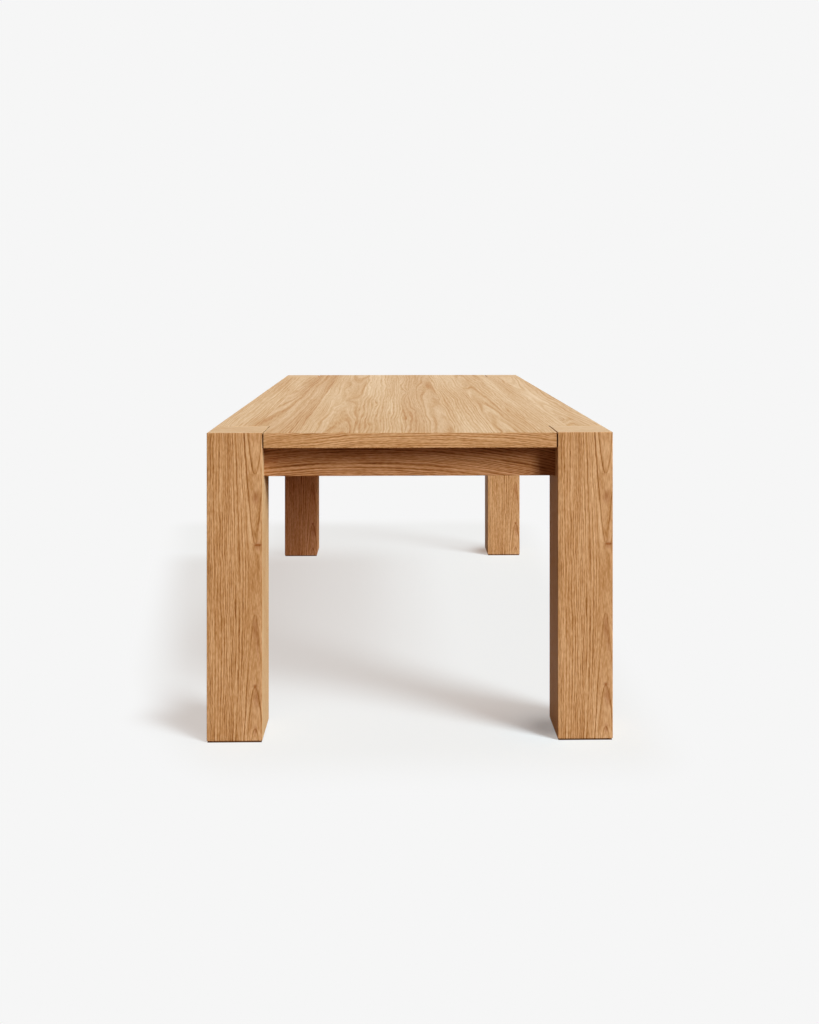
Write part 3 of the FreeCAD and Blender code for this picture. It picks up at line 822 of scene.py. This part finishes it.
@dataclass
class Leg(Assembly):
    """A square box leg: four mitred panels with a cap, and a block in its head and in its foot.

    Its seed sets its side panels and cap apart. Heart, bold rings and crotches are those of its end panels: the
    heart lies this far from the left side, and the crotches this far across from it. The gap says how far under
    the table's surface the painted shade beside the top ends and begins on the inner side panels.
    """

    front: bool
    left: bool
    table: TableSize
    seed: float
    size: float = 0.136
    heart: float = 0.1185
    bold: tuple[float, ...] = (0.0131, 0.0212, 0.0290)
    gap: Span = (0.038, 0.0025)
    crotches: tuple[Knot, ...] = (
        Knot(0.002, 0.602, 0.008, 0.014, 0.002, 0.70),
        Knot(0.006, 0.484, 0.008, 0.012, 0.003, 0.60),
        Knot(0.008, 0.4845, 0.010, 0.0025, 0.0, 1.00),
        Knot(0.001, 0.280, 0.006, 0.030, 0.0, 0.60),
        Knot(0.007, 0.240, 0.003, 0.030, 0.0, 0.50),
        Knot(0.000, 0.1375, 0.005, 0.005, 0.002, 0.90),
        Knot(0.004, 0.108, 0.008, 0.028, 0.0, 0.60),
        Knot(0.001, 0.030, 0.004, 0.012, 0.002, 0.70),
    )

    @property
    def name(self) -> str:
        """The first part of its nodes' names."""
        return f"leg_{'front' if self.front else 'back'}_{'left' if self.left else 'right'}"

    @property
    def plain_nodes(self) -> tuple[str, ...]:
        """The nodes of its blocks."""
        return f"{self.name}_head_block", f"{self.name}_foot_block"

    @property
    def side_painted_light(self) -> Colour:
        """The inner side panel's tint, painted for the light in its corner: lit on the front left leg, in shade
        on the others.
        """
        if not self.left:
            return tint(255, 243, 228)
        return tint(238, 242, 247) if self.front else tint(250, 228, 222)

    def boards(self) -> Iterator[tuple[str, Oak]]:
        """The cut of each board that shows.

        Returns:
            Each node's name with its oak.
        """
        table = self.table
        way_x = -1 if self.left else 1
        way_y = -1 if self.front else 1
        low_x = -table.half_width if self.left else table.half_width - self.size
        low_y = -table.half_length if self.front else table.half_length - self.size
        heart = low_x + self.heart
        crotches = tuple(replace(knot, across=heart + knot.across) for knot in self.crotches)
        arched = dict(grain=Axis.Z, across=Axis.X, heart=heart, depth=0.030, turn=0.396, bulge=0.13,
                      ring=0.0052, wave=0.0022, tremor=0.003, tone=0.0 if self.left else 0.045,
                      bold=self.bold)
        upright = dict(grain=Axis.Z, across=Axis.Y, ring=0.0055)
        # The heights of the painted gap shade on the inner side panels.
        below_surface = tuple(table.height - way_down for way_down in self.gap)
        yield f"{self.name}_outer_end_panel", Oak(
            f"oak_{self.name}_end", face=way_y * table.half_length, seed=1.0 if self.front else 2.0,
            knots_and_painted_shade=crotches if self.front else (), **arched)
        # On the left legs the inner end panel gets a redder tint: painted warm shade, for the back left leg's
        # face under the table.
        yield f"{self.name}_inner_end_panel", Oak(
            f"oak_{self.name}_inner_end", face=way_y * (table.half_length - self.size),
            seed=3.0 if self.front else 1.0, knots_and_painted_shade=() if self.front else crotches,
            stain_and_painted_light=tint(248, 224, 219) if self.left else None, **arched)
        yield f"{self.name}_outer_side_panel", Oak(
            f"oak_{self.name}_side", heart=low_y + 0.04, face=way_x * table.half_width, depth=0.034,
            turn=0.25, lean=0.03, seed=self.seed + 0.3, **upright)
        # Inner side panels are lit and shaded copies: tone, tint and shine differ by side, as painted light and
        # shade.
        yield f"{self.name}_inner_side_panel", Oak(
            f"oak_{self.name}_inner_side", heart=low_y + 0.21, face=way_x * (table.half_width - self.size),
            depth=0.05, turn=0.4, seed=self.seed + 0.6, tone=-0.09 if self.left else -0.01, contrast=0.6,
            stops=OAK_PALE_SHEEN_STOPS, shine=0.0 if self.left else 0.02, stain_and_painted_light=self.side_painted_light,
            painted_shade_between=below_surface, **upright)
        yield f"{self.name}_cap", Oak(
            f"oak_{self.name}_cap", grain=Axis.X, across=Axis.Y, heart=low_y - 0.09, face=table.height,
            depth=0.05, ring=0.007, seed=self.seed + 0.8, tone=0.0 if self.left else 0.05, contrast=0.6,
            stops=OAK_PALE_SHEEN_STOPS, shine=0.08)


@dataclass(frozen=True)
class Stave:
    """How one board of the top is cut from its log. Its fields are those of an oak board."""

    heart: float
    depth: float
    ring: float
    wave: float
    tone: float
    lean: float = 0.0
    bulge: float = 0.0
    stain_and_painted_light: Colour | None = None
    knots_and_painted_shade: tuple[Knot, ...] = ()


@dataclass
class Top(Assembly):
    """The top: nine staves on a core, with strips of solid oak round its edges and a sheet below."""

    table: TableSize
    thickness: float = 0.038
    plain_nodes: tuple[str, ...] = ("top_core",)
    staves: tuple[Stave, ...] = (
        Stave(heart=-0.62, depth=0.06, ring=0.008, wave=0.004, tone=0.01, lean=0.018),
        Stave(heart=-0.40, depth=0.05, ring=0.009, wave=0.008, tone=-0.06, lean=-0.02,
              stain_and_painted_light=tint(251, 248, 246)),
        Stave(heart=-0.18, depth=0.05, ring=0.009, wave=0.010, tone=-0.035, bulge=0.03,
              knots_and_painted_shade=(Knot(-0.208, 0.46), Knot(-0.179, -0.16, 0.007, 0.04, 0.016))),
        Stave(heart=-0.24, depth=0.06, ring=0.008, wave=0.007, tone=0.03, lean=0.01),
        Stave(heart=0.10, depth=0.04, ring=0.009, wave=0.010, tone=-0.03, lean=0.02,
              stain_and_painted_light=tint(252, 250, 249), knots_and_painted_shade=(Knot(0.004, 0.14), Knot(0.03, -0.5, length=0.04))),
        Stave(heart=0.28, depth=0.05, ring=0.008, wave=0.008, tone=0.05, lean=-0.015,
              knots_and_painted_shade=(Knot(0.18, 0.62, length=0.06, pull=0.014),)),
        Stave(heart=0.25, depth=0.05, ring=0.008, wave=0.009, tone=0.02, lean=0.015,
              knots_and_painted_shade=(Knot(0.237, 0.44),)),
        Stave(heart=0.26, depth=0.06, ring=0.008, wave=0.006, tone=0.06, lean=0.015,
              knots_and_painted_shade=(Knot(0.398, -0.2, length=0.04),)),
        Stave(heart=0.43, depth=0.05, ring=0.009, wave=0.009, tone=0.02, bulge=0.03,
              knots_and_painted_shade=(Knot(0.42, -0.7, 0.008, 0.04, 0.016),)),
    )

    def boards(self) -> Iterator[tuple[str, Oak]]:
        """The cut of each board that shows.

        Returns:
            Each node's name with its oak.
        """
        for number, stave in enumerate(self.staves, start=1):
            yield f"top_stave_{number}", Oak(
                f"oak_stave_{number}", grain=Axis.Y, across=Axis.X, face=self.table.height,
                seed=10.0 + number, reach=5.0, tremor=0.008, lines=0.25, contrast=0.72, broad=0.68,
                stops=OAK_PALE_SHEEN_STOPS, shine=0.04, **vars(stave))
        middle = self.table.height - self.thickness / 2
        for way, name in ((-1, "front"), (1, "back")):
            yield f"end_lipping_{name}", Oak(
                f"oak_end_lipping_{name}", grain=Axis.X, across=Axis.Z, heart=middle - 0.07,
                face=way * self.table.half_length, depth=0.02, turn=0.04, bow=0.2 * way, ring=0.0055,
                wave=0.0015, tremor=0.003, seed=21.0 + way, tone=0.04)
        for way, name in ((-1, "left"), (1, "right")):
            yield f"side_lipping_{name}", Oak(
                f"oak_side_lipping_{name}", grain=Axis.Y, across=Axis.Z, heart=middle + 0.06,
                face=way * self.table.half_width, depth=0.02, ring=0.005, seed=24.0 + way)
        # The notch lippings face the legs across narrow gaps, so their whole colour is darkened with painted
        # gap shade.
        yield "notch_lippings", Oak(
            "oak_notch_lippings", grain=Axis.X, across=Axis.Z, heart=middle - 0.06, face=0.0, depth=0.3,
            ring=0.005, seed=27.0, shine=0.02, stain_and_painted_light=PAINTED_GAP_SHADE)
        yield "top_backing", Oak(
            "oak_backing", grain=Axis.Y, across=Axis.X, heart=0.05, face=self.table.height - self.thickness,
            depth=0.05, lean=0.01, ring=0.009, wave=0.006, seed=28.0, tone=-0.03)


@dataclass
class Rails(Assembly):
    """The frame of rails under the top, with its two cross rails and its cleats.

    Its rails' outer faces lie rail_x and rail_y from the middle. Its shades are patches of painted shade on
    the front rail, across from its middle: two over the left half and one beside the right leg, in that leg's
    shadow.
    """

    rail_x: float = 0.462
    rail_y: float = 0.962
    middle: float = 0.6845
    # Patches of painted shade on the front rail.
    shades: tuple[Knot, ...] = (
        Knot(0.0145, -0.36, 0.012, 0.10, 0.0, 0.60),
        Knot(0.0035, -0.14, 0.012, 0.22, 0.0, 0.35),
        Knot(0.0, 0.345, 0.06, 0.06, 0.0, 0.45),
    )
    plain_nodes: tuple[str, ...] = ("cross_rail_front", "cross_rail_back", "rail_cleats")

    def boards(self) -> Iterator[tuple[str, Oak]]:
        """The cut of each board that shows.

        Returns:
            Each node's name with its oak.
        """
        for way, name in ((-1, "front"), (1, "back")):
            shades = tuple(replace(knot, across=self.middle + knot.across, along=-way * knot.along)
                           for knot in self.shades)
            yield f"end_rail_{name}", Oak(
                f"oak_end_rail_{name}", grain=Axis.X, across=Axis.Z, heart=self.middle - 0.09,
                face=way * self.rail_y, depth=0.02, turn=-0.12, bow=-0.23, ring=0.0058, wave=0.0007,
                tremor=0.0025, lines=0.45, seed=31.0 + way, tone=0.06, stain_and_painted_light=tint(240, 227, 222),
                knots_and_painted_shade=shades)
        for way, name in ((-1, "left"), (1, "right")):
            yield f"side_rail_{name}", Oak(
                f"oak_side_rail_{name}", grain=Axis.Y, across=Axis.Z, heart=self.middle - 0.02,
                face=way * self.rail_x, depth=0.03, lean=0.02, ring=0.006, seed=34.0 + way,
                stain_and_painted_light=tint(237, 222, 213))


@dataclass
class Fixings:
    """The steel, brass, beech and nylon that hold the table together and carry it."""

    finishes: tuple[tuple[Speckled, tuple[str, ...]], ...] = (
        (ZINC, ("bracket_bolts", "bolt_washers", "bracket_screws", "top_screws", "foot_glide_screws")),
        (BLACK, ("corner_brackets",)),
        (BRASS, ("threaded_inserts",)),
        (BEECH, ("rail_dowels",)),
        (NYLON, ("foot_glides",)),
    )

    def dress(self, frame: Mapping[str, Any]) -> None:
        """Gives every fixing its material.

        Args:
            frame: The loaded frame.
        """
        for finish, nodes in self.finishes:
            material = finish.material()
            for node in nodes:
                dress(frame, node, material)


@dataclass(frozen=True)
class Lamp:
    """A lamp so far away that its light is even.

    Its height is how high it stands above the floor, its turn how far round the table from the near end to
    the right, and its spread how wide it looks, in degrees. Its level is what it gives a face turned to it.
    """

    name: str
    height: float
    turn: float
    spread: float
    level: float
    colour: Triple = (1.0, 1.0, 1.0)

    def hang(self) -> None:
        """Adds the lamp to the scene."""
        lamp = bpy.data.lights.new(self.name, "SUN")
        lamp.energy = self.level * math.pi
        lamp.angle = math.radians(self.spread)
        lamp.color = self.colour
        hung = bpy.data.objects.new(self.name, lamp)
        hung.rotation_euler = (math.radians(90 - self.height), 0.0, math.radians(self.turn))
        bpy.context.scene.collection.objects.link(hung)
        LOG.info("%s hung", self.name)

    def on_floor(self, channel: int) -> float:
        """What it gives the floor of one colour channel."""
        return self.level * math.sin(math.radians(self.height)) * self.colour[channel]


@dataclass(frozen=True)
class Spot:
    """A soft spot on the floor, from its middle at x and y.

    It falls off as fast as across and along say, in 1/m, and adds its gain at its middle.
    """

    x: float
    y: float
    across: float
    along: float
    gain: float = 1.0

    def share(self, graph: Graph) -> Value:
        """How much of the spot there is, from 1 at its middle down."""
        x, y, _ = graph.parts()
        return ((x - self.x) * self.across).bell() * ((y - self.y) * self.along).bell()


@dataclass
class Studio:
    """A pale floor without an edge, a tall soft light from the right and a pale surround.

    Attributes:
        reach: How wide the floor is.
        pale: The look of the surround and of the floor far from the table.
        near: The look of the floor near it.
        glow: What lightens the shadows there.
        foot_glow: The same at the front right foot.
        foot_spot: Where that is.
        painted_contact_shadow: The painted contact shadow: the look of the floor under a leg.
        bounce: What the floor throws back of the light.
        fill: The colour of the light from all round.
        fill_level: Its level.
        lamps: The lamps.
        near_box: The near floor's lowest and highest X, then Y.
        near_fade: How far it fades out along X and along Y.
        near_bend: Where on Y its left edge bends.
        near_lean: How far that edge leans out per metre, beyond the bend and before it.
        near_bump: Where on Y it bulges, how fast that falls off, and how far it goes.
        shadow: How much of the shadows is seen.
        far_end: From where to where on Y less of them is.
        far_less: How much less.
        left_side: From where to where to the left less of them is.
        left_from: From where to where on Y that is so.
        left_less: How much less.
        shadow_spots: Where more of them is.
        leg_place: How far a leg's middle is from the table's, along X and Y.
        leg_reach: How far round that the floor is painted dark with the contact shadow.
        leg_edge: How wide that edge is.
    """

    reach: float = 60.0
    pale: Colour = tint(246, 246, 246)
    near: Colour = tint(239, 239, 238)
    glow: Colour = (0.275, 0.205, 0.165, 1.0)
    foot_glow: Colour = (0.235, 0.235, 0.235, 1.0)
    foot_spot: Spot = Spot(0.355, -0.92, 9.0, 9.0)
    painted_contact_shadow: Colour = tint(88, 58, 38)
    bounce: Colour = (0.18, 0.11, 0.07, 1.0)
    fill: Colour = (1.0, 0.55, 0.42, 1.0)
    fill_level: float = 0.09
    lamps: tuple[Lamp, ...] = (
        Lamp("key_lamp_top", 50.0, 55.0, 20.0, 0.43),
        Lamp("key_lamp_upper", 37.0, 55.0, 20.0, 0.53),
        Lamp("key_lamp_lower", 24.0, 55.0, 20.0, 0.58),
        Lamp("key_lamp_foot", 12.0, 55.0, 20.0, 0.15, (1.0, 0.70, 0.55)),
        Lamp("side_lamp", 12.0, -90.0, 90.0, 0.14, (1.0, 0.60, 0.42)),
    )
    near_box: tuple[float, float, float, float] = (-0.63, 0.50, -1.02, 1.40)
    near_fade: Span = (0.20, 0.26)
    near_bend: float = -0.5
    near_lean: Span = (0.17, 0.35)
    near_bump: Triple = (-0.865, 12.0, 0.06)
    shadow: float = 0.49
    far_end: Span = (0.70, 1.12)
    far_less: float = 0.35
    left_side: Span = (0.5, 0.8)
    left_from: Span = (-0.85, -0.5)
    left_less: float = 0.28
    shadow_spots: tuple[Spot, ...] = (
        Spot(0.355, -0.92, 3.3, 7.0, 0.20),
        Spot(0.355, -0.92, 16.0, 16.0, 0.35),
        Spot(0.365, 0.95, 18.0, 14.0, 0.60),
    )
    leg_place: Span = (0.432, 0.932)
    leg_reach: Span = (0.0665, 0.0675)
    leg_edge: float = 0.001

    def _near_share(self, graph: Graph) -> Value:
        """Works out where the near floor is.

        Args:
            graph: The floor's graph.

        Returns:
            1 near the table, and 0 far from it.
        """
        x, y, _ = graph.parts()
        low_x, high_x, low_y, high_y = self.near_box
        bump_y, bump_fall, bump_way = self.near_bump
        beyond = y - self.near_bend
        lean = beyond.at_least(0.0) * self.near_lean[0] + beyond.at_most(0.0) * self.near_lean[1]
        lean = lean + ((y - bump_y) * bump_fall).bell() * bump_way
        past_x = (low_x - lean - x).at_least(x - high_x).at_least(0.0) * (1 / self.near_fade[0])
        past_y = (low_y - y).at_least(y - high_y).at_least(0.0) * (1 / self.near_fade[1])
        return 1 - (past_x * past_x + past_y * past_y).root().rise(0.0, 1.0)

    def _shadow_share(self, graph: Graph) -> Value:
        """Works out how much of the near floor's shadows is seen.

        Args:
            graph: The floor's graph.

        Returns:
            Most at the front right foot, and least at the far end.
        """
        x, y, _ = graph.parts()
        share = self.shadow - y.rise(*self.far_end) * self.far_less
        share = share - (x * -1.0).rise(*self.left_side) * y.rise(*self.left_from) * self.left_less
        for spot in self.shadow_spots:
            share = share + spot.share(graph) * spot.gain
        return share

    def _under_legs(self, graph: Graph) -> Value:
        """Works out where a leg stands on the floor, which is painted with the contact shadow.

        Args:
            graph: The floor's graph.

        Returns:
            1 under a leg, and 0 elsewhere.
        """
        x, y, _ = graph.parts()
        off_x = (x.size() - self.leg_place[0]).size() - self.leg_reach[0]
        off_y = (y.size() - self.leg_place[1]).size() - self.leg_reach[1]
        return 1 - off_x.at_least(off_y).rise(-self.leg_edge, self.leg_edge)

    def _paint(self) -> Colour:
        """Works out the near floor's own colour.

        Returns:
            The colour that, lit by the lamps and its glow, looks as the near floor should.
        """
        light = [sum(lamp.on_floor(channel) for lamp in self.lamps) + self.fill_level * self.fill[channel]
                 for channel in range(3)]
        share = [(near - glow) / part for near, glow, part in zip(self.near, self.glow, light)]
        return (*share, 1.0)

    def _seen_floor(self, graph: Graph) -> Link:
        """Works out the floor as it is seen.

        Args:
            graph: The floor's graph.

        Returns:
            The shader's socket.
        """
        glow = graph.mixed_shader(self.foot_spot.share(graph), graph.glowing(self.glow),
                                  graph.glowing(self.foot_glow))
        lit = graph.node("AddShader", inputs={"Shader": graph.matt(self._paint()), "Shader_001": glow})
        near = graph.mixed_shader(self._shadow_share(graph), graph.glowing(self.near), lit.outputs["Shader"])
        whole = graph.mixed_shader(self._near_share(graph), graph.glowing(self.pale), near)
        # Painted contact shadow: under each leg the floor takes a dark colour instead of its shading.
        return graph.mixed_shader(self._under_legs(graph), whole, graph.glowing(self.painted_contact_shadow))

    def floor(self) -> None:
        """Lays the floor, which far from the table looks like the surround and is clear from below."""
        half = self.reach / 2
        corners = [(-half, -half, 0), (half, -half, 0), (half, half, 0), (-half, half, 0)]
        mesh = bpy.data.meshes.new("floor")
        mesh.from_pydata(corners, [], [(0, 1, 2, 3)])
        floor = bpy.data.objects.new("floor", mesh)
        bpy.context.scene.collection.objects.link(floor)
        made = bpy.data.materials.new("pale_floor")
        made.use_nodes = True
        graph = Graph(made.node_tree)
        above = graph.mixed_shader(graph.looked_at(), graph.matt(self.bounce), self._seen_floor(graph))
        below = graph.node("NewGeometry").outputs["Backfacing"]
        clear = graph.node("BsdfTransparent").outputs["BSDF"]
        graph.node("OutputMaterial", inputs={"Surface": graph.mixed_shader(below, above, clear)})
        mesh.materials.append(made)
        floor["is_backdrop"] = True
        LOG.info("floor laid")

    def surround(self) -> None:
        """Fills the world: a soft fill for what it lights, and the pale colour for what looks at it."""
        world = bpy.data.worlds.new("surround")
        bpy.context.scene.world = world
        world.use_nodes = True
        graph = Graph(world.node_tree)
        fill = graph.node("Background", inputs={"Color": self.fill, "Strength": self.fill_level})
        pale = graph.node("Background", inputs={"Color": self.pale, "Strength": 1.0})
        mixed = graph.mixed_shader(graph.looked_at(), fill.outputs["Background"], pale.outputs["Background"])
        graph.node("OutputWorld", inputs={"Surface": mixed})
        LOG.info("surround set")

    def build(self) -> None:
        """Lays the floor, fills the world and hangs the lamps."""
        self.floor()
        self.surround()
        for lamp in self.lamps:
            lamp.hang()
        bpy.context.scene.view_settings.view_transform = "Standard"


@dataclass
class Viewpoint:
    """The camera: level, a little left of the middle, and looking along the table from its near end.

    Its focal length and its horizon are in the picture's pixels, and it is turned to the left, in degrees.
    """

    place: Triple = (-0.0464, -3.5502, 1.0820)
    focal_pixels: float = 1036.23
    horizon_row: float = 301.68
    turn: float = -0.991
    sensor: float = 36.0
    clip_end: float = 200.0

    def build(self) -> None:
        """Makes the camera and gives it to the scene."""
        camera = bpy.data.cameras.new("view")
        camera.sensor_fit = "HORIZONTAL"
        camera.sensor_width = self.sensor
        camera.lens = self.focal_pixels * self.sensor / PICTURE_WIDTH
        camera.shift_y = (self.horizon_row - PICTURE_HEIGHT / 2) / PICTURE_WIDTH
        camera.clip_end = self.clip_end
        stand = bpy.data.objects.new("view", camera)
        stand.location = self.place
        stand.rotation_euler = (math.radians(90.0), 0.0, math.radians(self.turn))
        bpy.context.scene.collection.objects.link(stand)
        bpy.context.scene.camera = stand
        LOG.info("camera set")


def main() -> None:
    """Builds the scene: the camera, the studio, then each part of the table."""
    logging.basicConfig(level=logging.INFO, format="%(name)s: %(message)s")
    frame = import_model()
    cad_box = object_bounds()
    Viewpoint().build()
    Studio().build()
    table = TableSize(*(round(part, SIZE_DIGITS) for part in cad_box[1]))
    softwood = SOFTWOOD.material()
    board = FIBRE_BOARD.material()
    corners = ((True, True), (True, False), (False, True), (False, False))
    for number, (front, left) in enumerate(corners, start=1):
        Leg(front, left, table, seed=40.0 + 3.0 * number).dress(frame, softwood)
    Top(table).dress(frame, board)
    Rails().dress(frame, softwood)
    Fixings().dress(frame)


if __name__ == "__main__":
    main()
